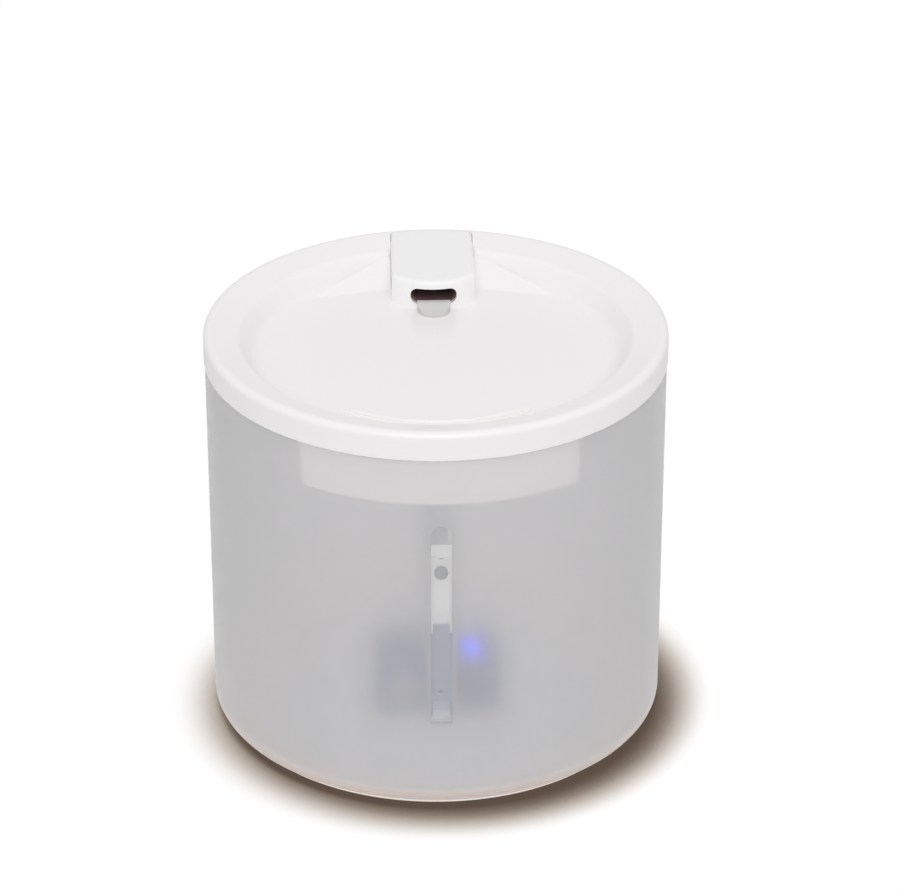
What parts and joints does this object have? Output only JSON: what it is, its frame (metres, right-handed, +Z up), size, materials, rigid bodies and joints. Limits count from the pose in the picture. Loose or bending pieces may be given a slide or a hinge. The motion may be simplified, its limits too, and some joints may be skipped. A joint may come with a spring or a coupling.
{
  "type": "pet water fountain",
  "caption": "Round pet water fountain: a frosted tank with a pump, hose and level window under a white drinking tray with a spout, a drain and a filter basket.",
  "frame": {"origin": "middle of the base, on the surface that the fountain stands on", "axes": "+Z up, the level window and the drain at the front (-Y), the spout and the power inlet at the back (+Y)"},
  "size_m": [0.18, 0.18, 0.164],
  "materials": {
    "frosted_tank": "frosted translucent polypropylene, satin outside",
    "foot_rubber": "soft light tan rubber",
    "clear_window": "clear polished plastic",
    "milky_guide": "milky moulded plastic, bluish below the water line",
    "clear_guide": "clear moulded plastic",
    "white_moulding": "white moulded plastic",
    "float_grey": "grey moulded float",
    "black_moulding": "black moulded plastic",
    "brass_pin": "plated contact pin",
    "black_rubber": "black rubber",
    "pump_moulding": "pale blue-grey moulded plastic",
    "cup_silicone": "translucent grey silicone",
    "core_steel": "laminated steel",
    "coil_copper": "enamelled copper winding",
    "board_green": "green circuit board",
    "led_lens": "glowing blue lens",
    "shaft_ceramic": "white polished ceramic",
    "impeller_moulding": "off-white moulded plastic",
    "magnet_grey": "dark grey ferrite",
    "strainer_moulding": "pale blue-grey moulded plastic",
    "sponge_foam": "open-cell black foam",
    "dial_moulding": "light grey moulded plastic",
    "lead_sheath": "white flexible sheath",
    "hose_silicone": "translucent silicone hose",
    "tray_white": "white gloss moulded plastic",
    "nozzle_black": "black moulded plastic",
    "cover_white": "white gloss moulded plastic",
    "lip_silicone": "translucent soft silicone",
    "basket_moulding": "white moulded plastic",
    "cassette_white": "white moulded plastic",
    "cotton_pad": "white needled cotton wadding",
    "carbon_granules": "black granules in a net"
  },
  "bodies": {
    "base": {"tank": "frosted_tank", "foot_ring": "foot_rubber", "level_window": "clear_window", "float_guide": "milky_guide", "guide_stop": "white_moulding", "inlet_socket": "black_moulding", "inlet_pin": "brass_pin", "inlet_seal": "black_rubber", "inlet_nut": "black_moulding", "pump_base": "pump_moulding", "suction_cups": "cup_silicone", "pump_housing": "pump_moulding", "pump_back_plate": "pump_moulding", "stator_core": "core_steel", "motor_coil": "coil_copper", "led_board": "board_green", "led_lens": "led_lens", "volute_cover": "pump_moulding", "shaft_bushes": "black_rubber", "impeller_shaft": "shaft_ceramic", "pump_lead": "lead_sheath", "lead_grommet": "black_rubber", "lead_clips": "clear_guide", "riser_tube": "hose_silicone"},
    "rotor": {"impeller": "impeller_moulding", "rotor_magnet": "magnet_grey"},
    "strainer_cap": {"strainer": "strainer_moulding", "prefilter_sponge": "sponge_foam"},
    "dial": {"flow_dial": "dial_moulding", "dial_clip": "dial_moulding"},
    "float": {"level_float": "float_grey"},
    "lid": {"drinking_tray": "tray_white", "riser_seal": "cup_silicone", "spout_nozzle": "nozzle_black"},
    "spout_top": {"spout_cover": "cover_white", "spout_lip": "lip_silicone"},
    "filter": {"filter_basket": "basket_moulding", "filter_cassette": "cassette_white", "filter_pad": "cotton_pad", "carbon_pack": "carbon_granules"}
  },
  "joints": [
    {"name": "tray_lift", "type": "slide", "parent": "base", "child": "lid", "axis": [0, 0, 1], "range_m": [0, 0.06]},
    {"name": "cover_lift", "type": "slide", "parent": "lid", "child": "spout_top", "axis": [0, 0, 1], "range_m": [0, 0.02]},
    {"name": "basket_drop", "type": "slide", "parent": "lid", "child": "filter", "axis": [0, 0, -1], "range_m": [0, 0.019]},
    {"name": "impeller_spin", "type": "hinge", "parent": "base", "child": "rotor", "pos_m": [0, -0.012, 0.0184], "axis": [0, 1, 0], "continuous": true},
    {"name": "strainer_pull", "type": "slide", "parent": "base", "child": "strainer_cap", "axis": [0, -1, 0], "range_m": [0, 0.012]},
    {"name": "dial_turn", "type": "hinge", "parent": "strainer_cap", "child": "dial", "pos_m": [-0.01375, -0.0285, 0.0184], "axis": [0, -1, 0], "range_deg": [0, 90]},
    {"name": "float_rise", "type": "slide", "parent": "base", "child": "float", "axis": [0, 0, 1], "range_m": [-0.0555, 0.005]}
  ]
}
